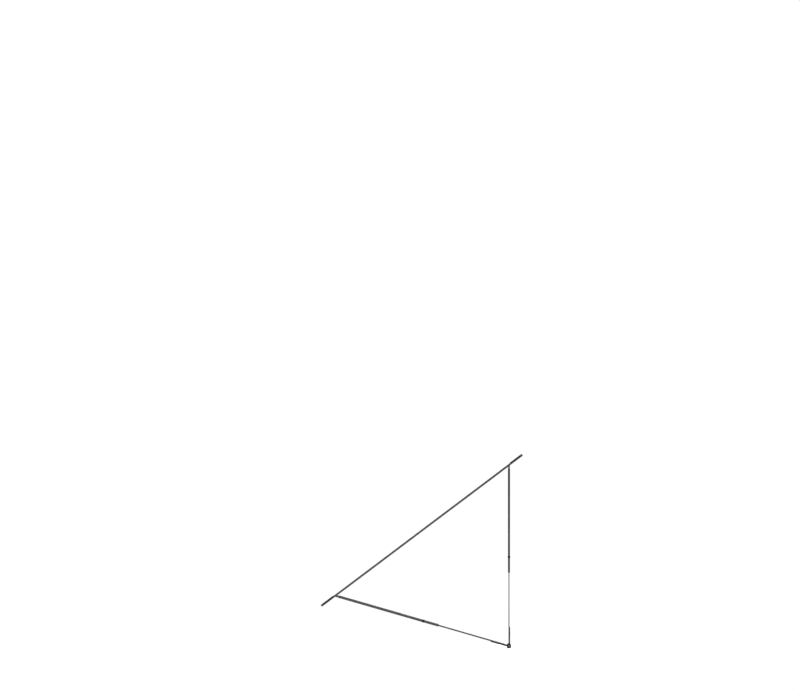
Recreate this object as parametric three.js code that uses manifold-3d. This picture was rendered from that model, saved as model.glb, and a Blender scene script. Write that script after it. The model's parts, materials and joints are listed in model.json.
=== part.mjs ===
/*
 * Ultra-thin folding laptop stand, standing open at its highest setting.
 *
 * A base frame is bonded under the laptop. A front leg and a rear leg hinge on the frame's two ends
 * and meet at one foot rod. Each leg is a pair of thin sleeves with a strip sliding in each, so it
 * retracts to half the pivot spacing and the whole stand folds flat into the base frame.
 *
 * Frames: the plate frame has its origin on the front hinge pin, +Y to the rear hinge pin and +Z
 * towards the laptop. Each end has its own frame on its hinge pin, with +Y towards the other hinge,
 * so the rear end is the front end turned half round. A leg frame is the end frame turned about the
 * pin, with +Y running down the leg to the foot and -Z on the outside of the open stand.
 */
import * as THREE from "three";
import { mergeVertices } from "three/addons/utils/BufferGeometryUtils.js";
import Module from "manifold-3d";

// Driving dimensions, in millimetres and degrees.
const PIVOT_SPACING = 128.4;
const LEG_ANGLE = 53.05; // between each leg and the base frame, fully open
const HALF_WIDTH = 84;
const LEVELS = 6; // height settings above the folded one
const GAP = 0.05; // between pieces that are bonded, riveted or welded to each other
const RUNNING_GAP = 0.1; // beside a sliding strip

// Base frame.
const RAIL = { inner: 77.3, halfThickness: 0.53, overrun: 0.9, lap: 6 };
const FLANGE = { near: 0.9, far: 9.05, low: -0.5, high: 0, halfWidth: 83 };
const PAD = { far: 9.9, top: 0.75, cornerRadius: 3 };
const CORNER_RIVET = { radius: 0.9, inset: 3, x: 80.5 };

// Hinges.
const PIN_RADIUS = 0.3;
const PIN_BORE = 0.36;
const KNUCKLE_RADIUS = 0.62;
const KNUCKLE_COUNT = 9; // leg and base knuckles in turn, between a leg's outer edges
const KNUCKLE_GAP = 0.3;
const STRAP = { start: 0.9, end: 2.2, halfThickness: 0.5 };

// Leg arms. Every arm is symmetric about its own centre line except for its detent, on the outer edge.
const ARM_HALF_WIDTH = 10;
const WALL = 0.8;
const CAVITY = { half: ARM_HALF_WIDTH - WALL, low: -0.32, high: 0.34 };
const SLEEVE = { start: 2.25, end: 40.3, halfThickness: 0.62, slotHalf: 6.4 };
const CROSS_BAR = { start: 28, end: 38, halfThickness: 0.4 };
const HOUSING = { end: 63.5, halfThickness: 0.6, mouth: 62.6, mouthHalf: 8.4 };
const LEAF_SLOT = { start: 52.9, half: 7.9 };
const DETENT = { at: 54.2, halfLength: 0.6, noseEnd: 8.9, headStart: 9.25, halfThickness: 0.7 };
const SPRING = { halfLength: 4.4, thickness: 0.12, halfWidth: 0.2, ends: 9.1, bow: 8.72 };
const STOP_RIVET = { at: 50, radius: 1.1, clearance: 0.05 };

// Sliding strips and the foot.
const STRIP = { start: 46, halfThickness: 0.25, slotHalf: 1.25, footGap: 1.15 };
const RELIEF = { start: 48.5, end: 102.5, edge: 8.5, notchRadius: 0.55, notchCentre: 8.6 };
const LEAF = { length: 11.1, half: 7.5, low: -0.63, high: -0.25, ringOuter: 1.03, ringInner: 0.65 };
const LEAF_RIVET = { radius: 0.9, x: 4.5, back: 7.2 };
const ROD_RADIUS = 0.6;
const RUBBER_RADIUS = 1.325;

// The two legs interleave: the front leg's arms stand between the rear leg's.
const ENDS = {
  front: { facing: 1, armCentre: 43, outerKnuckle: 5.7 },
  rear: { facing: -1, armCentre: 64, outerKnuckle: 2.4 },
};
const FRONT_ROD_HALF = 53.3;
const CENTRE_RUBBER_HALF = 32.6;
const REAR_ROD = { inner: 53.7, outer: 76.9 };
const REAR_RUBBER = { inner: 74.3, outer: 76.7 };

// Derived dimensions.
const PLATE_TILT = 90 - LEG_ANGLE; // leaves the rear leg vertical
const FOLDED_LENGTH = PIVOT_SPACING / 2;
const LEG_LENGTH = FOLDED_LENGTH / Math.cos(THREE.MathUtils.degToRad(LEG_ANGLE));
const TRAVEL = LEG_LENGTH - FOLDED_LENGTH;

const DARK_METAL = new THREE.MeshStandardMaterial({ color: 0x4b4c4e, roughness: 0.42, metalness: 0.85 });
const STEEL = new THREE.MeshStandardMaterial({ color: 0x9b9b9b, roughness: 0.35, metalness: 1 });
const BLACK_RUBBER = new THREE.MeshStandardMaterial({ color: 0x161616, roughness: 0.8, metalness: 0 });
const BLACK_PLASTIC = new THREE.MeshStandardMaterial({ color: 0x1c1c1c, roughness: 0.5, metalness: 0 });

const COARSE = 16; // sides of pins, rivets and bores
const FINE = 28; // sides of rods, rolled leaves and rubber sleeves
const MERGE_DISTANCE = 1e-5;
const OVERCUT = 1; // how far a cutting block runs past the faces it cuts

const wasm = await Module();
wasm.setup();

// ---- Solids -------------------------------------------------------------------------------------

function toSolid(geometry) {
  geometry.deleteAttribute("normal");
  geometry.deleteAttribute("uv");
  const merged = mergeVertices(geometry, MERGE_DISTANCE);
  const vertProperties = new Float32Array(merged.attributes.position.array);
  const triVerts = new Uint32Array(merged.index.array);
  return new wasm.Manifold(new wasm.Mesh({ numProp: 3, vertProperties, triVerts }));
}

function toGeometry(solid) {
  const { vertProperties, triVerts } = solid.getMesh();
  const geometry = new THREE.BufferGeometry();
  geometry.setAttribute("position", new THREE.BufferAttribute(vertProperties, 3));
  geometry.setIndex(new THREE.BufferAttribute(triVerts, 1));
  geometry.computeVertexNormals();
  return geometry;
}

/** A box between two limits on each axis, which may be given in either order. */
function block([x0, x1], [y0, y1], [z0, z1]) {
  const size = [x1 - x0, y1 - y0, z1 - z0].map(Math.abs);
  const geometry = new THREE.BoxGeometry(...size);
  geometry.translate((x0 + x1) / 2, (y0 + y1) / 2, (z0 + z1) / 2);
  return toSolid(geometry);
}

/** A sheet between two heights, from y = near to -far, with its two far corners rounded. */
function roundedSheet(half, near, far, cornerRadius, [z0, z1]) {
  const outline = new THREE.Shape();
  outline.moveTo(half, near);
  outline.lineTo(-half, near);
  outline.absarc(-half + cornerRadius, -far + cornerRadius, cornerRadius, Math.PI, 1.5 * Math.PI);
  outline.absarc(half - cornerRadius, -far + cornerRadius, cornerRadius, 1.5 * Math.PI, 2 * Math.PI);
  const options = { depth: z1 - z0, bevelEnabled: false, curveSegments: 6 };
  const geometry = new THREE.ExtrudeGeometry(outline, options);
  geometry.translate(0, 0, z0);
  return toSolid(geometry);
}

/** A round bar along X at the given y. */
function barAlongX(radius, [x0, x1], y, sides) {
  const geometry = new THREE.CylinderGeometry(radius, radius, Math.abs(x1 - x0), sides);
  geometry.rotateZ(Math.PI / 2);
  geometry.translate((x0 + x1) / 2, y, 0);
  return toSolid(geometry);
}

/** A round bar along Z between two heights. */
function barAlongZ(radius, x, y, [z0, z1], sides) {
  const geometry = new THREE.CylinderGeometry(radius, radius, Math.abs(z1 - z0), sides);
  geometry.rotateX(Math.PI / 2);
  geometry.translate(x, y, (z0 + z1) / 2);
  return toSolid(geometry);
}

function tubeAlongX(outer, inner, [x0, x1], y) {
  const bore = barAlongX(inner, [x0 - OVERCUT, x1 + OVERCUT], y, FINE);
  return barAlongX(outer, [x0, x1], y, FINE).subtract(bore);
}

function union(solids) {
  return solids.reduce((whole, next) => whole.add(next));
}

function addMesh(group, name, solid, material) {
  const mesh = new THREE.Mesh(toGeometry(solid), material);
  mesh.name = name;
  group.add(mesh);
}

// ---- Naming and layout ---------------------------------------------------------------------------

/** The side of the stand that an arm is on, as seen by the person at the laptop. */
function sideName(end, sign) {
  return sign * end.facing > 0 ? "right" : "left";
}

/** The x limits of one hinge's knuckles: the leg's, and the base frame's between and outside them. */
function knuckleZones(end) {
  const legEdge = end.armCentre + ARM_HALF_WIDTH;
  const pitch = (2 * legEdge) / KNUCKLE_COUNT;
  const zones = { leg: [], base: [] };
  for (let i = 0; i < KNUCKLE_COUNT; i += 1) {
    const isLeg = i % 2 === 0;
    const trim = isLeg ? 0 : KNUCKLE_GAP;
    const start = -legEdge + i * pitch;
    zones[isLeg ? "leg" : "base"].push([start + trim, start + pitch - trim]);
  }
  const outerStart = legEdge + KNUCKLE_GAP;
  const outerEnd = outerStart + end.outerKnuckle;
  zones.base.push([-outerEnd, -outerStart], [outerStart, outerEnd]);
  return zones;
}

function pinHalfLength(end) {
  return end.armCentre + ARM_HALF_WIDTH + KNUCKLE_GAP + end.outerKnuckle;
}

/** Knuckles with a short web each, bored for the hinge pin once they are joined to a plate. */
function addKnuckles(plate, zones, webEnd, webHeights) {
  const knuckles = zones.map((zone) => {
    const web = block(zone, [0, webEnd], webHeights);
    return barAlongX(KNUCKLE_RADIUS, zone, 0, COARSE).add(web);
  });
  const bore = barAlongX(PIN_BORE, [-HALF_WIDTH, HALF_WIDTH], 0, COARSE);
  return union([plate, ...knuckles]).subtract(bore);
}

// ---- Base frame ----------------------------------------------------------------------------------

/** Sheet flange under the adhesive pad, with the fixed knuckles and a lap for each side rail. */
function baseBar(end) {
  const sheet = [FLANGE.low, FLANGE.high];
  const cornerRadius = PAD.cornerRadius - (HALF_WIDTH - FLANGE.halfWidth);
  const flange = roundedSheet(FLANGE.halfWidth, -FLANGE.near, FLANGE.far, cornerRadius, sheet);
  const lapStart = -FLANGE.far + PAD.cornerRadius;
  const laps = [-1, 1].map((sign) => {
    const lap = block([sign * RAIL.inner, sign * FLANGE.halfWidth], [lapStart, RAIL.lap], sheet);
    return lap.subtract(cornerRivet(sign, GAP));
  });
  return addKnuckles(union([flange, ...laps]), knuckleZones(end).base, -FLANGE.near - GAP, sheet);
}

function cornerRivet(sign, extraRadius = 0) {
  const heights = [FLANGE.low, RAIL.halfThickness];
  return barAlongZ(CORNER_RIVET.radius + extraRadius, sign * CORNER_RIVET.x, CORNER_RIVET.inset, heights, COARSE);
}

/** Gel pad moulded over the flange: a flat top for the laptop, and a lip along the free edges. */
function adhesivePad() {
  const near = -RAIL.overrun - GAP;
  const pocketHalf = FLANGE.halfWidth + GAP;
  const pocketRadius = PAD.cornerRadius - (HALF_WIDTH - pocketHalf);
  const pocketHeights = [FLANGE.low - OVERCUT, FLANGE.high + GAP];
  const body = roundedSheet(HALF_WIDTH, near, PAD.far, PAD.cornerRadius, [FLANGE.low, PAD.top]);
  return body.subtract(roundedSheet(pocketHalf, 0, FLANGE.far + GAP, pocketRadius, pocketHeights));
}

/** Flat side rail, halved at each end over the lap of a base bar. */
function sideRail(sign) {
  const outer = [sign * RAIL.inner, sign * HALF_WIDTH];
  const cut = [sign * (RAIL.inner - OVERCUT), sign * (HALF_WIDTH + OVERCUT)];
  const heights = [-RAIL.halfThickness, RAIL.halfThickness];
  const lapHeights = [-RAIL.halfThickness - OVERCUT, FLANGE.high + GAP];
  const frontLap = block(cut, [-RAIL.overrun - OVERCUT, RAIL.lap + GAP], lapHeights);
  const rearY = PIVOT_SPACING - RAIL.lap - GAP;
  const rearLap = block(cut, [rearY, PIVOT_SPACING + RAIL.overrun + OVERCUT], lapHeights);
  const frontHole = cornerRivet(sign, GAP);
  const rearHole = frontHole.translate(0, PIVOT_SPACING - 2 * CORNER_RIVET.inset, 0);
  const bar = block(outer, [-RAIL.overrun, PIVOT_SPACING + RAIL.overrun], heights);
  return bar.subtract(union([frontLap, rearLap, frontHole, rearHole]));
}

function addBaseEnd(group, name, end) {
  const pinHalf = pinHalfLength(end);
  addMesh(group, `base_${name}_bar`, baseBar(end), DARK_METAL);
  addMesh(group, `${name}_adhesive_pad`, adhesivePad(), BLACK_RUBBER);
  addMesh(group, `${name}_hinge_pin`, barAlongX(PIN_RADIUS, [-pinHalf, pinHalf], 0, COARSE), STEEL);
  for (const sign of [-1, 1]) {
    addMesh(group, `${name}_corner_rivet_${sideName(end, sign)}`, cornerRivet(sign), STEEL);
  }
}

// ---- Leg -----------------------------------------------------------------------------------------

/** Strap across the head of a leg, with the leg's own knuckles. */
function hingeStrap(end) {
  const half = end.armCentre + ARM_HALF_WIDTH;
  const heights = [-STRAP.halfThickness, STRAP.halfThickness];
  const web = block([-half, half], [STRAP.start, STRAP.end], heights);
  return addKnuckles(web, knuckleZones(end).leg, STRAP.start + GAP, heights);
}

/** Thin channel, open along the middle of its inner face. */
function legSleeve(x) {
  const across = (half) => [x - half, x + half];
  const through = [SLEEVE.start - OVERCUT, SLEEVE.end + OVERCUT];
  const thickness = [-SLEEVE.halfThickness, SLEEVE.halfThickness];
  const body = block(across(ARM_HALF_WIDTH), [SLEEVE.start, SLEEVE.end], thickness);
  const cavity = block(across(CAVITY.half), through, [CAVITY.low, CAVITY.high]);
  const slot = block(across(SLEEVE.slotHalf), through, [0, SLEEVE.halfThickness + OVERCUT]);
  return body.subtract(cavity.add(slot));
}

/** Housing at the sleeve's end: guides the strip and holds the detent, the spring and the stop. */
function lockHousing(x, outward) {
  const across = (half) => [x - half, x + half];
  const start = SLEEVE.end + GAP;
  const through = [start - OVERCUT, HOUSING.end + OVERCUT];
  const below = -HOUSING.halfThickness - OVERCUT;
  const above = HOUSING.halfThickness + OVERCUT;
  const body = block(
    across(ARM_HALF_WIDTH),
    [start, HOUSING.end],
    [-HOUSING.halfThickness, HOUSING.halfThickness],
  );
  const cavity = block(across(CAVITY.half), through, [CAVITY.low, -CAVITY.low]);
  const leafSlot = block(across(LEAF_SLOT.half), [LEAF_SLOT.start, HOUSING.end + OVERCUT], [below, 0]);
  const mouth = block(across(HOUSING.mouthHalf), [HOUSING.mouth, HOUSING.end + OVERCUT], [below, above]);
  const detentSpan = DETENT.halfLength + GAP;
  const detentNotch = block(
    [x + outward * CAVITY.half, x + outward * (ARM_HALF_WIDTH + OVERCUT)],
    [DETENT.at - detentSpan, DETENT.at + detentSpan],
    [below, above],
  );
  const rivetHole = stopRivet(x, STOP_RIVET.clearance);
  return body.subtract(union([cavity, leafSlot, mouth, detentNotch, rivetHole]));
}

/** Black plug in the housing's edge, a little proud of both faces, whose nose backs up the spring. */
function detentPlug(x, outward) {
  const length = [DETENT.at - DETENT.halfLength, DETENT.at + DETENT.halfLength];
  const head = block(
    [x + outward * DETENT.headStart, x + outward * ARM_HALF_WIDTH],
    length,
    [-DETENT.halfThickness, DETENT.halfThickness],
  );
  const nose = block(
    [x + outward * DETENT.noseEnd, x + outward * (DETENT.headStart + GAP)],
    length,
    [-STRIP.halfThickness, STRIP.halfThickness],
  );
  return head.add(nose);
}

/** Bowed leaf spring between the housing's wall and the strip's edge. */
function detentSpring(x, outward) {
  const bow = (lateral, along) => [outward * lateral, along];
  const outline = new THREE.Shape();
  outline.moveTo(...bow(SPRING.ends, -SPRING.halfLength));
  outline.quadraticCurveTo(...bow(2 * SPRING.bow - SPRING.ends, 0), ...bow(SPRING.ends, SPRING.halfLength));
  outline.lineTo(...bow(SPRING.ends - SPRING.thickness, SPRING.halfLength));
  outline.quadraticCurveTo(
    ...bow(2 * SPRING.bow - SPRING.ends - SPRING.thickness, 0),
    ...bow(SPRING.ends - SPRING.thickness, -SPRING.halfLength),
  );
  const options = { depth: 2 * SPRING.halfWidth, bevelEnabled: false, curveSegments: 8 };
  const geometry = new THREE.ExtrudeGeometry(outline, options);
  geometry.translate(x, DETENT.at, -SPRING.halfWidth);
  return toSolid(geometry);
}

/** Flush rivet through the housing and the strip's slot: the end stop of the slide. */
function stopRivet(x, extraRadius = 0) {
  const reach = HOUSING.halfThickness;
  return barAlongZ(STOP_RIVET.radius + extraRadius, x, STOP_RIVET.at, [-reach, reach], COARSE);
}

function addLeg(group, name, end) {
  const barHalf = end.armCentre - ARM_HALF_WIDTH - GAP;
  const barHeights = [-CROSS_BAR.halfThickness, CROSS_BAR.halfThickness];
  const crossBar = block([-barHalf, barHalf], [CROSS_BAR.start, CROSS_BAR.end], barHeights);
  addMesh(group, `${name}_hinge_strap`, hingeStrap(end), DARK_METAL);
  addMesh(group, `${name}_cross_bar`, crossBar, DARK_METAL);
  for (const sign of [-1, 1]) {
    const side = sideName(end, sign);
    const x = sign * end.armCentre;
    addMesh(group, `${name}_leg_sleeve_${side}`, legSleeve(x), DARK_METAL);
    addMesh(group, `${name}_lock_housing_${side}`, lockHousing(x, sign), DARK_METAL);
    addMesh(group, `${name}_detent_plug_${side}`, detentPlug(x, sign), BLACK_PLASTIC);
    addMesh(group, `${name}_detent_spring_${side}`, detentSpring(x, sign), STEEL);
    addMesh(group, `${name}_stop_rivet_${side}`, stopRivet(x), STEEL);
  }
}

// ---- Slider --------------------------------------------------------------------------------------

/** Flat strip with a round-ended stop slot and, on its outer edge, a notch for each setting. */
function sliderStrip(x, outward) {
  const half = CAVITY.half - RUNNING_GAP;
  const end = LEG_LENGTH - STRIP.footGap;
  const beyond = [-STRIP.halfThickness - OVERCUT, STRIP.halfThickness + OVERCUT];
  const body = block([x - half, x + half], [STRIP.start, end], [-STRIP.halfThickness, STRIP.halfThickness]);
  const slotEnds = [STOP_RIVET.at, STOP_RIVET.at + TRAVEL];
  const slot = union([
    block([x - STRIP.slotHalf, x + STRIP.slotHalf], slotEnds, beyond),
    ...slotEnds.map((y) => barAlongZ(STRIP.slotHalf, x, y, beyond, COARSE)),
  ]);
  const relief = block(
    [x + outward * RELIEF.edge, x + outward * ARM_HALF_WIDTH],
    [RELIEF.start, RELIEF.end],
    beyond,
  );
  const notches = [];
  for (let level = 0; level <= LEVELS; level += 1) {
    const y = DETENT.at + (TRAVEL * level) / LEVELS;
    notches.push(barAlongZ(RELIEF.notchRadius, x + outward * RELIEF.notchCentre, y, beyond, COARSE));
  }
  return body.subtract(union([slot, relief, ...notches, ...leafRivets(x, GAP)]));
}

/** Foot hinge leaf on the strip's outer face, rolled round the foot rod. */
function footLeaf(x) {
  const across = [x - LEAF.half, x + LEAF.half];
  const plate = block(across, [LEG_LENGTH - LEAF.length, LEG_LENGTH], [LEAF.low, LEAF.high - GAP]);
  const roll = barAlongX(LEAF.ringOuter, across, LEG_LENGTH, FINE);
  const bore = barAlongX(LEAF.ringInner, [x - ARM_HALF_WIDTH, x + ARM_HALF_WIDTH], LEG_LENGTH, FINE);
  return union([plate, roll]).subtract(union([bore, ...leafRivets(x, GAP)]));
}

function leafRivets(x, extraRadius = 0) {
  const heights = [LEAF.low, STRIP.halfThickness];
  const y = LEG_LENGTH - LEAF_RIVET.back;
  return [-1, 1].map((sign) => {
    return barAlongZ(LEAF_RIVET.radius + extraRadius, x + sign * LEAF_RIVET.x, y, heights, COARSE);
  });
}

function addSliderArms(group, name, end) {
  for (const sign of [-1, 1]) {
    const side = sideName(end, sign);
    const x = sign * end.armCentre;
    const [lowRivet, highRivet] = leafRivets(x);
    const inner = sign > 0 ? lowRivet : highRivet;
    const outer = sign > 0 ? highRivet : lowRivet;
    addMesh(group, `${name}_slider_strip_${side}`, sliderStrip(x, sign), STEEL);
    addMesh(group, `${name}_foot_leaf_${side}`, footLeaf(x), DARK_METAL);
    addMesh(group, `${name}_leaf_rivet_inner_${side}`, inner, STEEL);
    addMesh(group, `${name}_leaf_rivet_outer_${side}`, outer, STEEL);
  }
}

/** The foot rod's middle length, which the front slider carries, and its long rubber sleeve. */
function addFrontFoot(group) {
  const rod = barAlongX(ROD_RADIUS, [-FRONT_ROD_HALF, FRONT_ROD_HALF], LEG_LENGTH, FINE);
  const rubberSpan = [-CENTRE_RUBBER_HALF, CENTRE_RUBBER_HALF];
  const rubber = tubeAlongX(RUBBER_RADIUS, LEAF.ringInner, rubberSpan, LEG_LENGTH);
  addMesh(group, "foot_rod_centre", rod, STEEL);
  addMesh(group, "foot_rubber_centre", rubber, BLACK_RUBBER);
}

/** The foot rod's two outer lengths, which the rear slider carries, with a rubber tip on each. */
function addRearFoot(group, end) {
  for (const sign of [-1, 1]) {
    const side = sideName(end, sign);
    const span = (part) => [sign * part.inner, sign * part.outer].sort((a, b) => a - b);
    const rubber = tubeAlongX(RUBBER_RADIUS, LEAF.ringInner, span(REAR_RUBBER), LEG_LENGTH);
    addMesh(group, `foot_rod_${side}`, barAlongX(ROD_RADIUS, span(REAR_ROD), LEG_LENGTH, FINE), STEEL);
    addMesh(group, `foot_rubber_${side}`, rubber, BLACK_RUBBER);
  }
}

// ---- Assembly ------------------------------------------------------------------------------------

function buildEnd(name) {
  const end = ENDS[name];
  const group = new THREE.Group();
  const leg = new THREE.Group();
  leg.rotation.x = -THREE.MathUtils.degToRad(LEG_ANGLE);
  addBaseEnd(group, name, end);
  addLeg(leg, name, end);
  addSliderArms(leg, name, end);
  if (name === "front") {
    addFrontFoot(leg);
  } else {
    addRearFoot(leg, end);
  }
  group.add(leg);
  return group;
}

/** The stand, with its origin at the centre of the front adhesive pad's top face. */
function buildStand() {
  const plate = new THREE.Group();
  const frontEnd = buildEnd("front");
  const rearEnd = buildEnd("rear");
  rearEnd.position.y = PIVOT_SPACING;
  rearEnd.rotation.z = Math.PI;
  plate.add(frontEnd, rearEnd);
  addMesh(plate, "base_rail_left", sideRail(-1), DARK_METAL);
  addMesh(plate, "base_rail_right", sideRail(1), DARK_METAL);

  const tilt = THREE.MathUtils.degToRad(PLATE_TILT);
  const padCentre = new THREE.Vector3(0, -(PAD.far + RAIL.overrun + GAP) / 2, PAD.top);
  plate.rotation.x = tilt;
  plate.position.copy(padCentre.applyAxisAngle(new THREE.Vector3(1, 0, 0), tilt).negate());
  const stand = new THREE.Group();
  stand.add(plate);
  return stand;
}

export default buildStand();
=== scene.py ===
"""Looks of the ultra-thin folding laptop stand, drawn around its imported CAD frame.

Outlines are in millimetres in a local frame, and every mesh is stored in metres in the row frame.
A local frame has its origin on a hinge pin and x along the pin. In an end frame of the base, y points
to the other hinge and z to the laptop. In a leg frame, y runs down the leg to the foot and z points
to the inside of the open stand.
"""
from functools import cache
import json
import math

import bmesh
import bpy
from mathutils import Matrix, Vector


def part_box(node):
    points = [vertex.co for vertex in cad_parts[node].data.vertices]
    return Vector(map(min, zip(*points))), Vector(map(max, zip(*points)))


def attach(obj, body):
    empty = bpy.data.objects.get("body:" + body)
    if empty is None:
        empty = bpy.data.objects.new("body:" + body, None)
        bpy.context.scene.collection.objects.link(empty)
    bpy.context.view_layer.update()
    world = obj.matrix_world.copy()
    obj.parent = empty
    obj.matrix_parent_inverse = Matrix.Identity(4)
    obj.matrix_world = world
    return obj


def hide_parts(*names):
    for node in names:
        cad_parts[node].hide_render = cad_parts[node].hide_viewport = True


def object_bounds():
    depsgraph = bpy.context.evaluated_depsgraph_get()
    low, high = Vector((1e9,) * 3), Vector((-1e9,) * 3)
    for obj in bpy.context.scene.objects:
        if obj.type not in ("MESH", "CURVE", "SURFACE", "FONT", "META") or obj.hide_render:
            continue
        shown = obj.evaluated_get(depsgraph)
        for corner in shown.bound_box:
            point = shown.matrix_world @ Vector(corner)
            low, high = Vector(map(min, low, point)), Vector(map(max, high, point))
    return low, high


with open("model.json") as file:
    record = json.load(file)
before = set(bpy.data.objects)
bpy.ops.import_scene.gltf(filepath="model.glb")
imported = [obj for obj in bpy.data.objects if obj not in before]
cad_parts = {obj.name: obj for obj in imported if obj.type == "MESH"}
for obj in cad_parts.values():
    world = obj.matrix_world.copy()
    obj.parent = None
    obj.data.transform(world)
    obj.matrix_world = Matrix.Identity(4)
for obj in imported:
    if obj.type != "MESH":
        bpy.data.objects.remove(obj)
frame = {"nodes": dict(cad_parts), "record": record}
cad_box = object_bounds()

MM = 0.001
SIDES = ("left", "right")
ENDS = ("front", "rear")
FACING = {"front": 1, "rear": -1}  # local x against row x

# Mesh making.
EDGE = 1  # material index of rounded edges
ARC_STEPS = 14
CORNER_STEPS = 5
EDGE_STEPS = 2
BEVEL_STEPS = 3
LATHE_STEPS = 48
WALL_SLOPE = 0.05  # faces of an extrusion that are steeper than this are its walls
CAP_SLOPE = 0.98  # and flatter than this, its caps
CREASE = math.radians(40)  # shading breaks and edges are rounded above this angle
FLAT = math.radians(1)  # and faces below this one are joined
MERGE = 1e-4
CAD_MERGE = 1e-3

# Camera, in metres: a level side view from so far that the stand's near and far sides coincide.
LENS_MM = 1400
VIEW_WIDTH = 0.4712  # what the picture spans at the stand
NEAR_LEG_X = 0.065
SIGHT_FROM_FOOT = Vector((0, -0.010, 0.073))  # the point that is seen exactly end-on
AIM_FROM_FOOT = Vector((0, -0.0644, 0.1773))  # the point in the middle of the picture

# Studio: lengths in metres, softbox powers in watts.
FLOOR_RADIUS = 0.7
FLOOR_SHADES = ((0.93, 0.93, 0.93), (0.95, 0.95, 0.95))
SKY_BAND = (-0.15, 0.75)  # directions' heights between which the surroundings brighten
SKY_STRENGTH = (0.62, 1.0)
BACKDROP_STRENGTH = 1.02  # just over white, so that the backdrop comes out clean
SOFTBOXES = {  # place, size and power
    "key": ((0.55, -0.45, 0.6), 0.5, 5),
    "fill": ((-0.6, -0.3, 0.35), 0.6, 2),
    "rim": ((0.1, 0.8, 0.5), 0.5, 3),
}
SUN_STRENGTH = 0.9
SUN_SPREAD = math.radians(50)
SUN_TURN = (math.radians(14), math.radians(-18), 0)

# Lengths from here on are in millimetres.

# Roundings of each kind of edge.
SHEET_EDGE = 0.07
CAST_EDGE = 0.1
KNUCKLE_EDGE = 0.04
SLEEVE_EDGE = 0.05
LEAF_EDGE = 0.05
PAD_EDGE = 0.22
PLUG_EDGE = 0.12
SPRING_EDGE = 0.02

# Base bars: sheet flanges with a lap at each end.
FLANGE_NEAR = -0.9
FLANGE_LOW = -0.5
FLANGE_HIGH = 0
FLANGE_CORNER = 2
FLANGE_INNER_CORNER = 0.4
LAP_CORNER = 0.5
FLANGE_ROLL = 0.62  # radius of the rolled edge
FLANGE_ROLL_LAP = 0.5  # how far its tail runs into the flange
FLANGE_SEAM = -180  # degrees round the pin at which the roll's inner face starts

# Edges rolled round a pin.
CURL_END = 164  # degrees round the pin at which the rolled sheet stops
CURL_THICKNESS = 0.26
CURL_INSET = 0.02  # keeps a tail's faces just inside the sheet that it runs into

# Hinge knuckles and the leg's hinge strap: a flat web with barrels whose tails run into it.
KNUCKLE_COUNT = 9
KNUCKLE_GAP = 0.3
PIN_BORE = 0.36
DOME_ANGLES = (0, 0.4, 0.8, 1.2, math.pi / 2)  # radians
WEB_START = 0.9  # from the pin's axis
BARREL_TAIL = 1.2  # likewise
WEB_HALF = 0.5
WEB_CORNER = 0.15

# Leg sleeves: channels with lips.
WALL = 0.8
LIP = 6.4  # from the channel's middle
CAVITY_LOW = -0.32
CAVITY_HIGH = 0.34
BACK_CORNER = 0.3
SHOULDER_CORNER = 0.22
LIP_CORNER = 0.12
GROOVE_CORNER = 0.08

# Slider strips.
STRIP_CORNER = 0.7
SHOULDER_OUTER_CORNER = 0.3
SHOULDER_INNER_CORNER = 0.2
STOP_SLOT_HALF = 1.25
NOTCH_RADIUS = 0.55
NOTCH_OFFSET = 0.1
RELIEF_DEPTH = 0.6
RELIEF_START = 2.5  # from the strip's inner end
RELIEF_END = 3.15  # from the strip's foot end
LEVELS = 6  # steps between height settings

# Foot leaves, rod and rubber.
LEAF_LOW = -0.63
LEAF_HIGH = -0.3
LEAF_CORNER = 1.2
LEAF_TAB_END = 0.8  # from the rod's axis
LEAF_ROLL_START = 1.8  # likewise
LEAF_SEAM = -152  # degrees round the rod at which the roll's inner face starts
ROD_BORE = 0.65
ROD_CHAMFER = 0.16
RUBBER_ROLL = 0.3
ROLL_ANGLES = [math.radians(angle) for angle in range(0, 91, 15)]
RIB_PITCH = 1.5
RIB_GROOVE = 0.34
RIB_DEPTH = 0.13

# Rivets.
RIVET_HOLE_GAP = 0.05
LEAF_RIVET_PROUD = 0.09

# A rivet's end, in parts of its radius: a shallow dish inside a flat ring and a chamfered rim.
DISH_DEPTH = 0.08
DISH_SLOPE_DEPTH = 0.048
DISH_SLOPE_RADIUS = 0.3
DISH_RADIUS = 0.55
RING_RADIUS = 0.76
RIM_ROLL = 0.064
RIM_CHAMFER = 0.16


# ---- Local frames and sizes from the CAD frame ------------------------------------------------------

JOINTS = {joint["name"]: joint for joint in frame["record"]["behaviour"]["joints"]}
TRAVEL = JOINTS["rear_leg_slide"]["range_m"][1] / MM


def local_frame(pivot, along, facing):
    x = Vector((facing, 0, 0))
    y = along.normalized()
    axes = Matrix((x, y, x.cross(y))).transposed().to_4x4()
    return Matrix.Translation(pivot) @ axes @ Matrix.Scale(MM, 4)


def make_frames():
    """The base's two end frames and the two leg frames, by name."""
    pivot = {end: Vector(JOINTS[f"{end}_leg_fold"]["pos_m"]) for end in ENDS}
    frames = {}
    for end, other in zip(ENDS, reversed(ENDS)):
        down = -Vector(JOINTS[f"{end}_leg_slide"]["axis"])
        frames[f"{end}_end"] = local_frame(pivot[end], pivot[other] - pivot[end], FACING[end])
        frames[f"{end}_leg"] = local_frame(pivot[end], down, FACING[end])
    return frames


FRAMES = make_frames()


def span(node, local):
    """Lowest and highest corner of a CAD node in a local frame."""
    inverse = FRAMES[local].inverted()
    points = [inverse @ vertex.co for vertex in frame["nodes"][node].data.vertices]
    low = Vector([min(point[axis] for point in points) for axis in range(3)])
    high = Vector([max(point[axis] for point in points) for axis in range(3)])
    return low, high


# ---- Outlines ---------------------------------------------------------------------------------------


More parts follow.
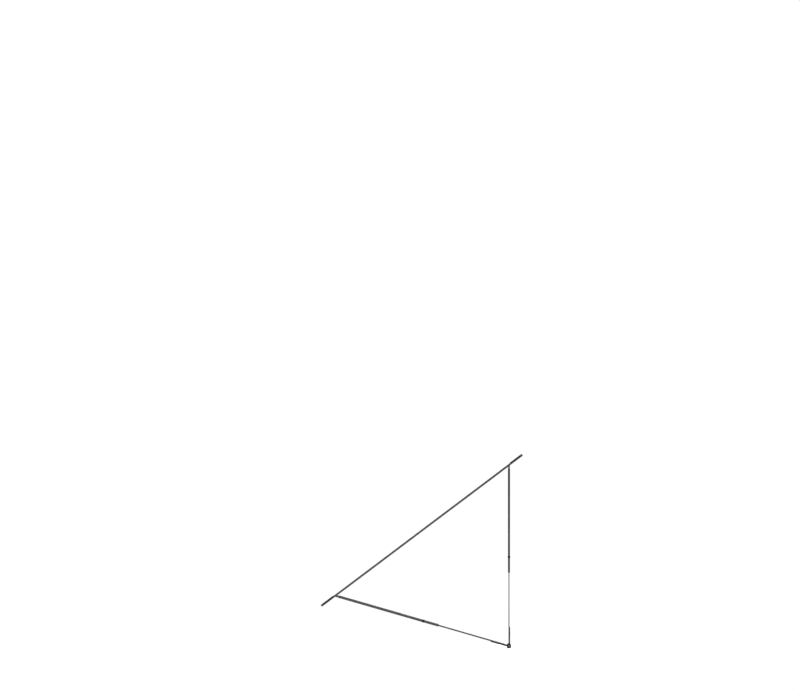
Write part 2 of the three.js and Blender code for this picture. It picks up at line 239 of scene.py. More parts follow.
def arc(centre, radius, start, end, steps=ARC_STEPS):
    """Points along an arc, with its angles in degrees."""
    angles = [math.radians(start + (end - start) * step / steps) for step in range(steps + 1)]
    return [(centre[0] + radius * math.cos(a), centre[1] + radius * math.sin(a)) for a in angles]


def circle(centre, radius):
    return arc(centre, radius, 0, 360, 2 * ARC_STEPS)[:-1]


def stadium(x, low, high, half):
    """A slot along y with round ends centred at low and high."""
    return arc((x, high), half, 0, 180) + arc((x, low), half, 180, 360)


def rounded(corners):
    """A closed outline from (a, b, radius) corners."""
    outline = []
    for index, (a, b, radius) in enumerate(corners):
        if radius == 0:
            outline.append((a, b))
            continue
        here = Vector((a, b))
        before = Vector(corners[index - 1][:2])
        after = Vector(corners[(index + 1) % len(corners)][:2])
        enter = here + (before - here).normalized() * radius
        leave = here + (after - here).normalized() * radius
        for step in range(CORNER_STEPS + 1):
            t = step / CORNER_STEPS
            outline.append(tuple(enter.lerp(here, t).lerp(here.lerp(leave, t), t)))
    return outline


def mirrored(corners):
    """Corners of one half, followed by the same corners on the other side of the b axis."""
    return corners + [(-a, b, radius) for a, b, radius in reversed(corners)]


def rolled_edge(pin, outer, inner, tail, low, high, seam):
    """A sheet's edge rolled round a pin that lies at (pin, 0), with a tail that runs into the sheet."""
    start = -180 - math.degrees(math.asin(low / outer))
    outline = [(tail, high - CURL_INSET), (tail, low + CURL_INSET)]
    outline += arc((pin, 0), outer, start, CURL_END, 2 * ARC_STEPS)
    outline += arc((pin, 0), inner, CURL_END, seam, 2 * ARC_STEPS)
    return outline


# ---- Shells: small meshes in local millimetres ------------------------------------------------------

AXIS_ORDER = {
    "x": lambda a, b, c: Vector((c, a, b)),
    "y": lambda a, b, c: Vector((a, c, b)),
    "z": lambda a, b, c: Vector((a, b, c)),
}


def cleaned(shell):
    bmesh.ops.remove_doubles(shell, verts=shell.verts, dist=MERGE)
    bmesh.ops.recalc_face_normals(shell, faces=shell.faces)
    return shell


def evaluated_mesh(holder):
    """A new mesh of an object with its bevels or modifiers applied."""
    return bpy.data.meshes.new_from_object(holder.evaluated_get(bpy.context.evaluated_depsgraph_get()))


def outline_curve(loops, depth, edge):
    """A filled flat curve that is extruded to a depth with rounded edges."""
    curve = bpy.data.curves.new("outline", "CURVE")
    curve.dimensions = "2D"
    curve.fill_mode = "BOTH"
    curve.extrude = depth / 2 - edge
    curve.bevel_depth = edge
    curve.bevel_resolution = EDGE_STEPS
    curve.offset = -edge
    for loop in loops:
        spline = curve.splines.new("POLY")
        spline.points.add(len(loop) - 1)
        spline.use_cyclic_u = True
        for point, (a, b) in zip(spline.points, loop):
            point.co = (a, b, 0, 1)
    return curve


def prism(loops, axis, low, high, edge=SHEET_EDGE, sheared=False):
    """Closed loops, the first one outside the others, extruded along axis with rounded edges.

    A sheared sheet's walls take the edge material as well as its rounded edges.
    """
    curve = outline_curve(loops, high - low, edge)
    holder = bpy.data.objects.new("outline", curve)
    bpy.context.collection.objects.link(holder)
    mesh = evaluated_mesh(holder)
    bpy.data.objects.remove(holder)
    bpy.data.curves.remove(curve)
    wall = -1 if sheared else WALL_SLOPE
    for polygon in mesh.polygons:
        polygon.material_index = EDGE if wall < abs(polygon.normal.z) < CAP_SLOPE else 0
    shell = bmesh.new()
    shell.from_mesh(mesh)
    bpy.data.meshes.remove(mesh)
    for vertex in shell.verts:
        a, b, c = vertex.co
        vertex.co = AXIS_ORDER[axis](a, b, c + (low + high) / 2)
    return cleaned(shell)


def lathe(profile, axis, centre, closed=False):
    """A profile of (along, radius) points turned round the line along axis through centre."""
    shell = bmesh.new()
    rings = []
    for along, radius in profile:
        count = 1 if radius == 0 else LATHE_STEPS
        ring = []
        for step in range(count):
            angle = 2 * math.pi * step / LATHE_STEPS
            a = centre[0] + radius * math.cos(angle)
            b = centre[1] + radius * math.sin(angle)
            ring.append(shell.verts.new(AXIS_ORDER[axis](a, b, along)))
        rings.append(ring * (LATHE_STEPS // count))
    pairs = list(zip(rings, rings[1:]))
    if closed:
        pairs.append((rings[-1], rings[0]))
    for first, second in pairs:
        for i in range(LATHE_STEPS):
            j = (i + 1) % LATHE_STEPS
            corners = [first[i], first[j], second[j], second[i]]
            shell.faces.new(list(dict.fromkeys(corners)))
    return cleaned(shell)


def cad_copy(node, local, edge):
    """A CAD node's own faces with its sharp edges rounded."""
    shell = bmesh.new()
    shell.from_mesh(frame["nodes"][node].data)
    bmesh.ops.transform(shell, matrix=FRAMES[local].inverted(), verts=shell.verts)
    bmesh.ops.remove_doubles(shell, verts=shell.verts, dist=CAD_MERGE)
    bmesh.ops.dissolve_limit(shell, angle_limit=FLAT, verts=shell.verts, edges=shell.edges)
    for face in shell.faces:
        face.material_index = 0
    sharp = [e for e in shell.edges if len(e.link_faces) == 2 and e.calc_face_angle() > CREASE]
    bmesh.ops.bevel(
        shell, geom=sharp, offset=edge, offset_type="OFFSET", segments=BEVEL_STEPS, profile=0.5,
        affect="EDGES", clamp_overlap=True, material=EDGE,
    )
    return cleaned(shell)


def as_object(shell, materials):
    mesh = bpy.data.meshes.new("shell")
    shell.to_mesh(mesh)
    shell.free()
    for material in materials:
        mesh.materials.append(material)
    holder = bpy.data.objects.new("shell", mesh)
    bpy.context.collection.objects.link(holder)
    return holder


def fused(shells, materials):
    """One closed shell from shells that overlap."""
    holders = [as_object(shell, materials) for shell in shells]
    for other in holders[1:]:
        join = holders[0].modifiers.new("join", "BOOLEAN")
        join.operation = "UNION"
        join.solver = "EXACT"
        join.object = other
    mesh = evaluated_mesh(holders[0])
    joined = bmesh.new()
    joined.from_mesh(mesh)
    bpy.data.meshes.remove(mesh)
    for holder in holders:
        bpy.data.meshes.remove(holder.data)
    return cleaned(joined)


# ---- Pieces -----------------------------------------------------------------------------------------


def is_soft(edge):
    """False where shading breaks: at a crease, and where a flat face meets its rounded edge."""
    if len({face.material_index for face in edge.link_faces}) > 1:
        return False
    return edge.calc_face_angle(math.pi) < CREASE


def add_piece(name, shells, local, body, materials, nodes):
    """Makes one object in the row frame from its shells, to stand for its CAD nodes."""
    shell = fused(shells, materials) if len(shells) > 1 else shells[0]
    bmesh.ops.transform(shell, matrix=FRAMES[local], verts=shell.verts)
    for face in shell.faces:
        face.smooth = True
    for edge in shell.edges:
        edge.smooth = is_soft(edge)
    mesh = bpy.data.meshes.new(name)
    shell.to_mesh(mesh)
    shell.free()
    for material in materials:
        mesh.materials.append(material)
    piece = bpy.data.objects.new(name, mesh)
    bpy.context.collection.objects.link(piece)
    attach(piece, body)
    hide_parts(*nodes)


# ---- Materials --------------------------------------------------------------------------------------


class Look:
    """One material, built by short calls that add nodes to its tree."""

    def __init__(self, name):
        self.material = bpy.data.materials.new(name)
        self.material.use_nodes = True
        self.tree = self.material.node_tree
        self.shader = self.tree.nodes["Principled BSDF"]

    def feed(self, value, socket):
        """Links another node's output to a socket, or sets a constant on it."""
        if isinstance(value, bpy.types.NodeSocket):
            self.tree.links.new(value, socket)
        else:
            socket.default_value = value

    def add(self, kind, **inputs):
        """A new node with its sockets fed by name, each space in a name written as _."""
        node = self.tree.nodes.new(kind)
        for key, value in inputs.items():
            self.feed(value, node.inputs[key.replace("_", " ")])
        return node

    def coordinates(self, local, stretch=(1, 1, 1)):
        """Object coordinates turned into a local frame and stretched along its axes."""
        turn = FRAMES[local].to_3x3().normalized().inverted().to_euler()
        place = self.add("ShaderNodeTexCoord").outputs["Object"]
        turned = self.add("ShaderNodeMapping", Vector=place, Rotation=turn).outputs["Vector"]
        return self.add("ShaderNodeMapping", Vector=turned, Scale=stretch).outputs["Vector"]

    def noise(self, place, scale, detail=2, roughness=0.5):
        node = self.add("ShaderNodeTexNoise", Vector=place, Scale=scale, Detail=detail, Roughness=roughness)
        return node.outputs["Fac"]

    def remap(self, value, source, target):
        """A value with the range source moved onto the range target."""
        node = self.add(
            "ShaderNodeMapRange", Value=value,
            From_Min=source[0], From_Max=source[1], To_Min=target[0], To_Max=target[1],
        )
        return node.outputs["Result"]

    def blend(self, factor, first, second):
        """A colour between two constant colours."""
        node = self.tree.nodes.new("ShaderNodeMix")
        node.data_type = "RGBA"
        self.feed(factor, node.inputs["Factor"])
        colours = [socket for socket in node.inputs if socket.type == "RGBA"]
        for socket, colour in zip(colours, (first, second)):
            socket.default_value = (*colour, 1)
        return next(socket for socket in node.outputs if socket.type == "RGBA")

    def combine(self, operation, first, second):
        node = self.tree.nodes.new("ShaderNodeMath")
        node.operation = operation
        for socket, value in zip(node.inputs, (first, second)):
            self.feed(value, socket)
        return node.outputs["Value"]

    def bump(self, height, strength, distance):
        node = self.add("ShaderNodeBump", Height=height, Strength=strength, Distance=distance * MM)
        self.feed(node.outputs["Normal"], self.shader.inputs["Normal"])

    def finish(self, colour, roughness, metallic, **inputs):
        self.feed(colour, self.shader.inputs["Base Color"])
        self.feed(roughness, self.shader.inputs["Roughness"])
        self.feed(metallic, self.shader.inputs["Metallic"])
        for key, value in inputs.items():
            self.feed(value, self.shader.inputs[key.replace("_", " ")])
        return self.material


COAT_DARK = (0.060, 0.061, 0.064)
COAT_LIGHT = (0.076, 0.077, 0.081)
BARE_ZINC = (0.26, 0.26, 0.27)
STEEL_DARK = (0.050, 0.051, 0.053)
STEEL_LIGHT = (0.095, 0.096, 0.099)
SHEARED_DARK = (0.026, 0.026, 0.028)
SHEARED_LIGHT = (0.058, 0.058, 0.061)
PIN_DARK = (0.08, 0.081, 0.084)
PIN_LIGHT = (0.14, 0.14, 0.145)
RUBBER_DARK = (0.004, 0.004, 0.0042)
RUBBER_LIGHT = (0.010, 0.010, 0.0105)
# the gel's darkest colour is painted shade, put in the middle of each suction pit
GEL_DIMPLE_SHADE = (0.003, 0.003, 0.003)
GEL_LIGHT = (0.011, 0.011, 0.0115)

BLAST_GRAIN = 5200  # noise cells in a metre
GRAIN_ALONG = (7000, 110, 7000)  # cells in a metre along each local axis
GRAIN_THROUGH = (5000, 5000, 400)
GRAIN_ACROSS = (160, 8000, 8000)
RUBBING_RATIO = 7  # rubbing marks are this much wider than the brushed grain


@cache
def coated_metal(local):
    """Blasted and coated sheet: fine grain, slow mottling and smudges from handling."""
    look = Look(f"coated_metal_{local}")
    place = look.coordinates(local)
    grain = look.noise(place, scale=BLAST_GRAIN, detail=3, roughness=0.6)
    mottling = look.noise(place, scale=150, detail=4)
    smudges = look.noise(place, scale=42, detail=3, roughness=0.55)
    slow = look.remap(mottling, (0.35, 0.65), (0, 0.6))
    fine = look.remap(grain, (0.35, 0.65), (0, 0.4))
    colour = look.blend(look.combine("ADD", slow, fine), COAT_DARK, COAT_LIGHT)
    blasted = look.remap(grain, (0.3, 0.7), (-0.05, 0.05))
    handled = look.remap(smudges, (0.4, 0.65), (0.36, 0.44))
    look.bump(grain, strength=0.6, distance=0.04)
    return look.finish(colour, look.combine("ADD", blasted, handled), metallic=0.9)


@cache
def worn_edge(local):
    """The coat where an edge is rubbed: thin bright metal shows in short runs."""
    look = Look(f"worn_edge_{local}")
    place = look.coordinates(local)
    runs = look.noise(place, scale=520, detail=4, roughness=0.65)
    grain = look.noise(place, scale=BLAST_GRAIN, detail=3, roughness=0.6)
    rubbed = look.remap(runs, (0.5, 0.68), (0, 1))
    colour = look.blend(rubbed, COAT_LIGHT, BARE_ZINC)
    look.bump(grain, strength=0.25, distance=0.015)
    return look.finish(colour, look.remap(rubbed, (0, 1), (0.42, 0.28)), metallic=0.95)


@cache
def brushed_steel(name, local, stretch, dark, light):
    """Steel with its grain along the axis of stretch's smallest value, and slower rubbing marks."""
    look = Look(f"brushed_steel_{name}_{local}")
    wide = tuple(cells / RUBBING_RATIO for cells in stretch)
    streaks = look.noise(look.coordinates(local, stretch), scale=1, detail=3, roughness=0.6)
    rubbing = look.noise(look.coordinates(local, wide), scale=1, detail=3, roughness=0.6)
    clouds = look.noise(look.coordinates(local), scale=90, detail=3)
    fine = look.remap(streaks, (0.3, 0.7), (0, 0.6))
    slow = look.remap(clouds, (0.35, 0.65), (0, 0.4))
    colour = look.blend(look.combine("ADD", fine, slow), dark, light)
    look.bump(look.combine("ADD", streaks, rubbing), strength=0.3, distance=0.012)
    return look.finish(colour, look.remap(rubbing, (0.3, 0.7), (0.24, 0.4)), metallic=1)


@cache
def silicone(local):
    """Matt silicone: fine skin texture and a little dust."""
    look = Look(f"silicone_{local}")
    place = look.coordinates(local)
    skin = look.noise(place, scale=2600, detail=4, roughness=0.65)
    dust = look.noise(place, scale=420, detail=5, roughness=0.7)
    colour = look.blend(look.remap(dust, (0.5, 0.72), (0, 1)), RUBBER_DARK, RUBBER_LIGHT)
    matt = look.remap(dust, (0.3, 0.7), (0.6, 0.8))
    look.bump(skin, strength=0.45, distance=0.03)
    return look.finish(colour, matt, metallic=0, Specular_IOR_Level=0.2)


@cache
def gel_pad(local):
    """Adhesive gel: a tacky, slightly glossy skin over a field of tiny suction pits, with painted shade
    that darkens the middle of each pit.
    """
    look = Look(f"gel_pad_{local}")
    place = look.coordinates(local)
    cells = look.add("ShaderNodeTexVoronoi", Vector=place, Scale=1900, Randomness=0.15)
    # painted shade: this mask is darkest in the middle of each pit, as if the hollow were shaded; the same
    # mask also gives the pits their real relief through the bump
    dimple_relief_and_shade = look.remap(cells.outputs["Distance"], (0.1, 0.45), (0, 1))
    skin = look.noise(place, scale=150, detail=5, roughness=0.6)
    # the painted pit shade, times a random tone from the skin noise
    shade = look.combine("MULTIPLY", dimple_relief_and_shade, look.remap(skin, (0.3, 0.7), (0.4, 1)))
    colour = look.blend(shade, GEL_DIMPLE_SHADE, GEL_LIGHT)
    tacky = look.remap(skin, (0.3, 0.7), (0.34, 0.54))
    look.bump(dimple_relief_and_shade, strength=0.6, distance=0.06)
    return look.finish(colour, tacky, metallic=0, Specular_IOR_Level=0.22)


@cache
def moulded_plastic(local):
    """Black moulding with a fine spark-eroded texture."""
    look = Look(f"moulded_plastic_{local}")
    place = look.coordinates(local)
    spark = look.noise(place, scale=3800, detail=3, roughness=0.6)
    tone = look.noise(place, scale=500, detail=3)
    colour = look.blend(tone, RUBBER_DARK, RUBBER_LIGHT)
    satin = look.remap(spark, (0.3, 0.7), (0.5, 0.65))
    look.bump(spark, strength=0.3, distance=0.02)
    return look.finish(colour, satin, metallic=0, Specular_IOR_Level=0.1)


# A piece's materials: the first on its faces, and the second on its rounded edges.


def coat(local):
    return coated_metal(local), worn_edge(local)


def strip_steel(local):
    return (
        brushed_steel("strip", local, GRAIN_ALONG, STEEL_DARK, STEEL_LIGHT),
        brushed_steel("sheared", local, GRAIN_THROUGH, SHEARED_DARK, SHEARED_LIGHT),
    )


def pin_steel(local):
    return (brushed_steel("pin", local, GRAIN_ACROSS, PIN_DARK, PIN_LIGHT),)


# ---- Rivets -----------------------------------------------------------------------------------------


def rivet(node, name, local, body, proud=0.0):
    """A set rivet along z, whose lower head stands proud of its CAD node's low face."""
    low, high = span(node, local)
    centre = ((low.x + high.x) / 2, (low.y + high.y) / 2)
    radius = (high.x - low.x) / 2
    face = [  # depth below the end's plane and distance from the axis, in parts of the radius
        (DISH_DEPTH, 0),
        (DISH_SLOPE_DEPTH, DISH_SLOPE_RADIUS),
        (0, DISH_RADIUS),
        (0, RING_RADIUS),
        (RIM_ROLL, 1 - RIM_ROLL),
        (RIM_CHAMFER, 1),
    ]
    profile = [(low.z - proud + radius * depth, radius * out) for depth, out in face]
    profile += [(high.z - radius * depth, radius * out) for depth, out in reversed(face)]
    add_piece(name, [lathe(profile, "z", centre)], local, body, pin_steel(local), [node])


# ---- Base frame -------------------------------------------------------------------------------------


def hinge_pin(end):
    """Plain wire pin with domed ends."""
    local = f"{end}_end"
    node = f"{end}_hinge_pin"
    low, high = span(node, local)
    radius = (high.z - low.z) / 2
    dome = [(radius * (1 - math.cos(t)), radius * math.sin(t)) for t in DOME_ANGLES]
    profile = [(low.x + along, r) for along, r in dome]
    profile += [(high.x - along, r) for along, r in reversed(dome)]
    shell = lathe(profile, "x", (0, 0))
    add_piece(f"{end}_pin", [shell], local, "base_frame", pin_steel(local), [node])


def knuckle_zones(end):
    """Local x limits of one hinge's leg knuckles and base knuckles, from the CAD hinge's own width."""
    low, high = span(f"{end}_hinge_strap", f"{end}_leg")
    pin_low, pin_high = span(f"{end}_hinge_pin", f"{end}_end")
    pitch = (high.x - low.x) / KNUCKLE_COUNT
    zones = {"leg": [], "base": []}
    for index in range(KNUCKLE_COUNT):
        start = low.x + index * pitch
        if index % 2 == 0:
            zones["leg"].append((start, start + pitch))
        else:
            zones["base"].append((start + KNUCKLE_GAP, start + pitch - KNUCKLE_GAP))
    zones["base"] += [(pin_low.x, low.x - KNUCKLE_GAP), (high.x + KNUCKLE_GAP, pin_high.x)]
    return zones


def base_bar(end):
    """Sheet flange with a lap at each end, and its edge rolled into the fixed knuckles."""
    local = f"{end}_end"
    node = f"base_{end}_bar"
    low, high = span(node, local)
    inner = span("base_rail_right", "front_end")[0].x
    rivet_low, rivet_high = span(f"{end}_corner_rivet_right", local)
    rivet_x = abs(rivet_low.x + rivet_high.x) / 2
    rivet_y = (rivet_low.y + rivet_high.y) / 2
    hole = (rivet_high.x - rivet_low.x) / 2 + RIVET_HOLE_GAP
    half_outline = [
        (high.x, low.y, FLANGE_CORNER), (high.x, high.y, LAP_CORNER),
        (inner, high.y, LAP_CORNER), (inner, FLANGE_NEAR, FLANGE_INNER_CORNER),
    ]
    holes = [circle((sign * rivet_x, rivet_y), hole) for sign in (-1, 1)]
    shells = [prism([rounded(mirrored(half_outline)), *holes], "z", FLANGE_LOW, FLANGE_HIGH)]
    bore = FLANGE_ROLL - CURL_THICKNESS
    tail = FLANGE_NEAR - FLANGE_ROLL_LAP
    roll = rolled_edge(0, FLANGE_ROLL, bore, tail, FLANGE_LOW, FLANGE_HIGH, FLANGE_SEAM)
    for x0, x1 in knuckle_zones(end)["base"]:
        shells.append(prism([roll], "x", x0, x1, KNUCKLE_EDGE))
    add_piece(f"{end}_bar", shells, local, "base_frame", coat(local), [node])


def adhesive_pad(end):
    local = f"{end}_end"
    node = f"{end}_adhesive_pad"
    shell = cad_copy(node, local, PAD_EDGE)
    gel = gel_pad(local)
    add_piece(f"{end}_gel_pad", [shell], local, "base_frame", (gel, gel), [node])


def base_frame():
    for end in ENDS:
        base_bar(end)
        hinge_pin(end)
        adhesive_pad(end)
        for side in SIDES:
            name = f"{end}_corner_rivet_head_{side}"
            rivet(f"{end}_corner_rivet_{side}", name, f"{end}_end", "base_frame")
    local = "front_end"
    for side in SIDES:
        node = f"base_rail_{side}"
        rail = cad_copy(node, local, CAST_EDGE)
        add_piece(f"rail_{side}", [rail], local, "base_frame", coat(local), [node])


# ---- Legs -------------------------------------------------------------------------------------------


def hinge_strap(end):
    """Cast strap across the leg's head with barrel knuckles."""
    local = f"{end}_leg"
    node = f"{end}_hinge_strap"
    low, high = span(node, local)
    radius = high.z
    web = rounded([
        (WEB_START, -WEB_HALF, WEB_CORNER), (high.y, -WEB_HALF, WEB_CORNER),
        (high.y, WEB_HALF, WEB_CORNER), (WEB_START, WEB_HALF, WEB_CORNER),
    ])
    shells = [prism([web], "x", low.x, high.x)]
    meet = math.degrees(math.asin(WEB_HALF / radius))
    tail = WEB_HALF - CURL_INSET
    barrel = arc((0, 0), radius, meet, 360 - meet, 2 * ARC_STEPS)
    barrel += [(BARREL_TAIL, -tail), (BARREL_TAIL, tail)]
    bore = circle((0, 0), PIN_BORE)
    for x0, x1 in knuckle_zones(end)["leg"]:
        shells.append(prism([barrel, bore], "x", x0, x1, KNUCKLE_EDGE))
    add_piece(f"{end}_strap", shells, local, local, coat(local), [node])


def leg_sleeve(end, side):
    """Extruded channel whose lips leave the strip showing on the inner face."""
    local = f"{end}_leg"
    node = f"{end}_leg_sleeve_{side}"
    low, high = span(node, local)
    middle = (low.x + high.x) / 2
    outer = (high.x - low.x) / 2
    cavity = outer - WALL
    half_outline = [
        (outer, -high.z, BACK_CORNER), (outer, high.z, SHOULDER_CORNER), (LIP, high.z, LIP_CORNER),
        (LIP, CAVITY_HIGH, GROOVE_CORNER), (cavity, CAVITY_HIGH, GROOVE_CORNER),
        (cavity, CAVITY_LOW, LIP_CORNER),
    ]
    outline = [(middle + a, b) for a, b in rounded(mirrored(half_outline))]
    shell = prism([outline], "y", low.y, high.y, SLEEVE_EDGE)
    add_piece(f"{end}_sleeve_{side}", [shell], local, local, coat(local), [node])


def cross_bar(end):
    local = f"{end}_leg"
    node = f"{end}_cross_bar"
    shell = cad_copy(node, local, CAST_EDGE)
    add_piece(f"{end}_tie_bar", [shell], local, local, coat(local), [node])


def lock_housing(end, side):
    """Housing at the sleeve's end, with its detent plug, detent spring and stop rivet."""
    local = f"{end}_leg"
    plastic = moulded_plastic(local)
    contents = (
        ("lock_housing", "housing", CAST_EDGE, coat(local), "dark_metal"),
        ("detent_plug", "plug", PLUG_EDGE, (plastic, plastic), "plastic"),
        ("detent_spring", "spring", SPRING_EDGE, strip_steel(local), "steel"),
    )
    for kind, name, edge, materials, slot in contents:
        node = f"{end}_{kind}_{side}"
        shell = cad_copy(node, local, edge)
        add_piece(f"{end}_{name}_{side}", [shell], local, local, materials, [node])
    rivet(f"{end}_stop_rivet_{side}", f"{end}_stop_pin_{side}", local, local)


def leg(end):
    hinge_strap(end)
    cross_bar(end)
    for side in SIDES:
        leg_sleeve(end, side)
        lock_housing(end, side)


# ---- Sliders and foot -------------------------------------------------------------------------------


def notched_edge(half, low, high, detent):
    """The strip's right edge, relieved between its ends, with one round notch for each setting."""
    relief = half - RELIEF_DEPTH
    start = low + RELIEF_START
    shoulder = high - RELIEF_END
    edge = rounded([
        (-half, low, STRIP_CORNER), (half, low, STRIP_CORNER), (half, start, SHOULDER_OUTER_CORNER),
        (relief, start, SHOULDER_INNER_CORNER), (relief, high, 0),
    ])[:-1]
    sweep = math.degrees(math.acos(NOTCH_OFFSET / NOTCH_RADIUS))
    for level in range(LEVELS + 1):
        centre = (relief + NOTCH_OFFSET, detent + TRAVEL * level / LEVELS)
        edge += arc(centre, NOTCH_RADIUS, 180 + sweep, 180 - sweep)
    return edge + rounded([
        (relief, shoulder, SHOULDER_INNER_CORNER), (half, shoulder, SHOULDER_OUTER_CORNER),
        (half, high, STRIP_CORNER), (-half, high, STRIP_CORNER), (-half, start, 0),
    ])


def slider_strip(end, side):
    """Flat strip with a stop slot and a notched outer edge."""
    local = f"{end}_leg"
    node = f"{end}_slider_strip_{side}"
    low, high = span(node, local)
    plug_low, plug_high = span(f"{end}_detent_plug_{side}", local)
    stop_low, stop_high = span(f"{end}_stop_rivet_{side}", local)
    middle = (low.x + high.x) / 2
    half = (high.x - low.x) / 2
    outward = 1 if middle > 0 else -1
    edge = notched_edge(half, low.y, high.y, (plug_low.y + plug_high.y) / 2)
    outline = [(middle + outward * a, b) for a, b in edge]
    stop = (stop_low.y + stop_high.y) / 2
    slot = stadium(middle, stop, stop + TRAVEL, STOP_SLOT_HALF)
    shell = prism([outline, slot], "z", low.z, high.z, sheared=True)
    add_piece(f"{end}_strip_{side}", [shell], local, f"{end}_slider", strip_steel(local), [node])


def foot_leaf(end, side):
    """Sheet leaf riveted to the strip and rolled round the foot rod."""
    local = f"{end}_leg"
    node = f"{end}_foot_leaf_{side}"
    low, high = span(node, local)
    outer = (high.z - low.z) / 2
    rod = high.y - outer
    tab_end = rod - LEAF_TAB_END
    tab = rounded([
        (low.x, low.y, LEAF_CORNER), (high.x, low.y, LEAF_CORNER), (high.x, tab_end, 0), (low.x, tab_end, 0)
    ])
    roll = rolled_edge(rod, outer, ROD_BORE, rod - LEAF_ROLL_START, LEAF_LOW, LEAF_HIGH, LEAF_SEAM)
    shells = [prism([tab], "z", LEAF_LOW, LEAF_HIGH), prism([roll], "x", low.x, high.x, LEAF_EDGE)]
    add_piece(f"{end}_leaf_{side}", shells, local, f"{end}_slider", coat(local), [node])


def foot_rod(name, local, body):
    """Turned rod with chamfered ends."""
    node = f"foot_rod_{name}"
    low, high = span(node, local)
    radius = (high.z - low.z) / 2
    centre = ((low.y + high.y) / 2, 0)
    profile = [(low.x, 0), (low.x, radius - ROD_CHAMFER), (low.x + ROD_CHAMFER, radius)]
    profile += [(high.x - ROD_CHAMFER, radius), (high.x, radius - ROD_CHAMFER), (high.x, 0)]
    shell = lathe(profile, "x", centre)
    add_piece(f"rod_{name}", [shell], local, body, pin_steel(local), [node])


def foot_rubber(name, local, body):
    """Silicone tube with round grooves at an even pitch and rolled ends."""
    node = f"foot_rubber_{name}"
    low, high = span(node, local)
    radius = (high.z - low.z) / 2
    centre = ((low.y + high.y) / 2, 0)
    roll = [  # distance in from the end, and radius
        (RUBBER_ROLL * (1 - math.sin(t)), radius - RUBBER_ROLL * (1 - math.cos(t))) for t in ROLL_ANGLES
    ]
    outer = [(low.x + along, r) for along, r in reversed(roll)]
    count = max(1, round((high.x - low.x - 2 * RUBBER_ROLL) / RIB_PITCH))
    pitch = (high.x - low.x) / count
    for index in range(1, count):
        middle = low.x + index * pitch
        outer += [(middle - RIB_GROOVE / 2, radius), (middle - RIB_GROOVE / 4, radius - RIB_DEPTH)]
        outer += [(middle + RIB_GROOVE / 4, radius - RIB_DEPTH), (middle + RIB_GROOVE / 2, radius)]
    outer += [(high.x - along, r) for along, r in roll]
    profile = [(low.x, ROD_BORE), *outer, (high.x, ROD_BORE)]
    shell = lathe(profile, "x", centre, closed=True)
    add_piece(f"rubber_{name}", [shell], local, body, (silicone(local),), [node])


def slider(end):
    """Both strips with their leaves, and the foot rod's middle length (front) or outer two (rear)."""
    local = f"{end}_leg"
    body = f"{end}_slider"
    for side in SIDES:
        slider_strip(end, side)
        foot_leaf(end, side)
        for place in ("inner", "outer"):
            node = f"{end}_leaf_rivet_{place}_{side}"
            rivet(node, f"{end}_leaf_head_{place}_{side}", local, body, LEAF_RIVET_PROUD)
    lengths = ("centre",) if end == "front" else SIDES
    for name in lengths:
        foot_rod(name, local, body)
        foot_rubber(name, local, body)


# ---- Studio -----------------------------------------------------------------------------------------


def foot_bottom():
    low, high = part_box("foot_rubber_centre")
    return Vector((0, (low.y + high.y) / 2, low.z))


def add_floor():
    """Pale disc under the foot."""
    height = foot_bottom().z
    rim = circle((0, 0), FLOOR_RADIUS)
    mesh = bpy.data.meshes.new("floor")
    mesh.from_pydata([(x, y, height) for x, y in rim], [], [tuple(range(len(rim)))])
    look = Look("pale_floor")
    tone = look.noise(look.coordinates("rear_leg"), scale=3)
    colour = look.blend(tone, *FLOOR_SHADES)
    matt = look.remap(tone, (0, 1), (0.85, 0.95))
    mesh.materials.append(look.finish(colour, matt, metallic=0, Specular_IOR_Level=0.1))
    floor = bpy.data.objects.new("floor", mesh)
    bpy.context.collection.objects.link(floor)


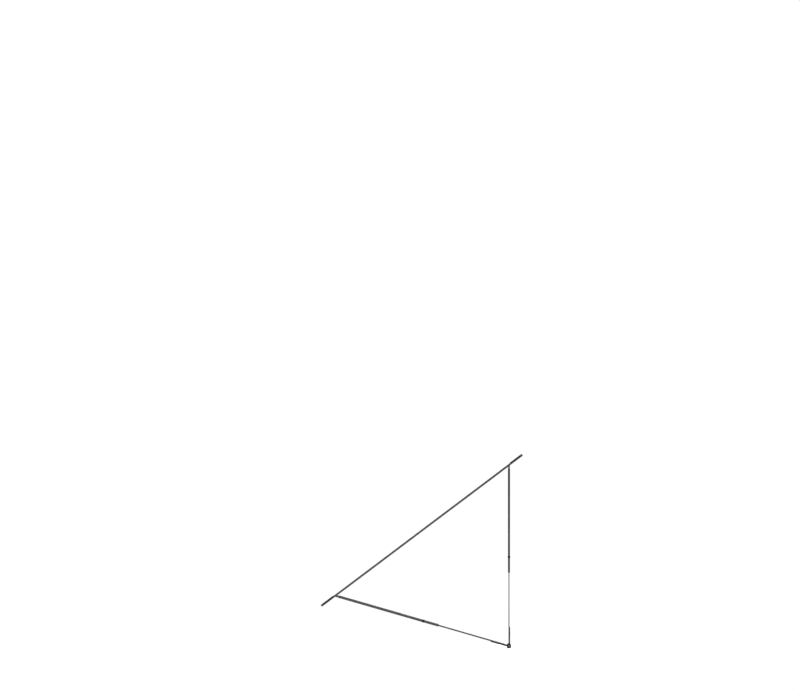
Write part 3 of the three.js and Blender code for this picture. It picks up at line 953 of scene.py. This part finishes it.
def add_world():
    """White to the camera; a soft studio, lighter above than at the sides, to everything else."""
    world = bpy.data.worlds.new("studio")
    world.use_nodes = True
    bpy.context.scene.world = world
    tree = world.node_tree
    background = tree.nodes["Background"]
    place = tree.nodes.new("ShaderNodeTexCoord")
    split = tree.nodes.new("ShaderNodeSeparateXYZ")
    height = tree.nodes.new("ShaderNodeMapRange")
    for limit, direction, brightness in zip(("Min", "Max"), SKY_BAND, SKY_STRENGTH):
        height.inputs[f"From {limit}"].default_value = direction
        height.inputs[f"To {limit}"].default_value = brightness
    path = tree.nodes.new("ShaderNodeLightPath")
    strength = tree.nodes.new("ShaderNodeMix")
    strength.inputs["B"].default_value = BACKDROP_STRENGTH
    tree.links.new(place.outputs["Generated"], split.inputs["Vector"])
    tree.links.new(split.outputs["Z"], height.inputs["Value"])
    tree.links.new(path.outputs["Is Camera Ray"], strength.inputs["Factor"])
    tree.links.new(height.outputs["Result"], strength.inputs["A"])
    tree.links.new(strength.outputs["Result"], background.inputs["Strength"])
    background.inputs["Color"].default_value = (1, 1, 1, 1)


def add_softbox(name, place, size, power):
    light = bpy.data.lights.new(name, "AREA")
    light.size = size
    light.energy = power
    lamp = bpy.data.objects.new(name, light)
    lamp.location = place
    centre = (cad_box[0] + cad_box[1]) / 2
    lamp.rotation_euler = (centre - lamp.location).to_track_quat("-Z", "Y").to_euler()
    bpy.context.collection.objects.link(lamp)


def add_sun():
    light = bpy.data.lights.new("overhead", "SUN")
    light.energy = SUN_STRENGTH
    light.angle = SUN_SPREAD
    lamp = bpy.data.objects.new("overhead", light)
    lamp.rotation_euler = SUN_TURN
    bpy.context.collection.objects.link(lamp)


def add_camera():
    """Level with the stand and in line with it, then turned up so the stand sits low in the picture."""
    data = bpy.data.cameras.new("camera")
    data.lens = LENS_MM
    distance = VIEW_WIDTH * LENS_MM / data.sensor_width
    data.clip_start = distance / 10
    data.clip_end = distance * 2
    camera = bpy.data.objects.new("camera", data)
    camera.location = foot_bottom() + SIGHT_FROM_FOOT + Vector((NEAR_LEG_X + distance, 0, 0))
    aim = foot_bottom() + AIM_FROM_FOOT
    camera.rotation_euler = (aim - camera.location).to_track_quat("-Z", "Y").to_euler()
    bpy.context.collection.objects.link(camera)
    bpy.context.scene.camera = camera


def make_studio():
    bpy.context.scene.view_settings.view_transform = "Standard"
    add_camera()
    add_floor()
    add_world()
    add_sun()
    for name, (place, size, power) in SOFTBOXES.items():
        add_softbox(name, place, size, power)


# ---- Assembly ---------------------------------------------------------------------------------------

make_studio()
base_frame()
for end in ENDS:
    leg(end)
    slider(end)
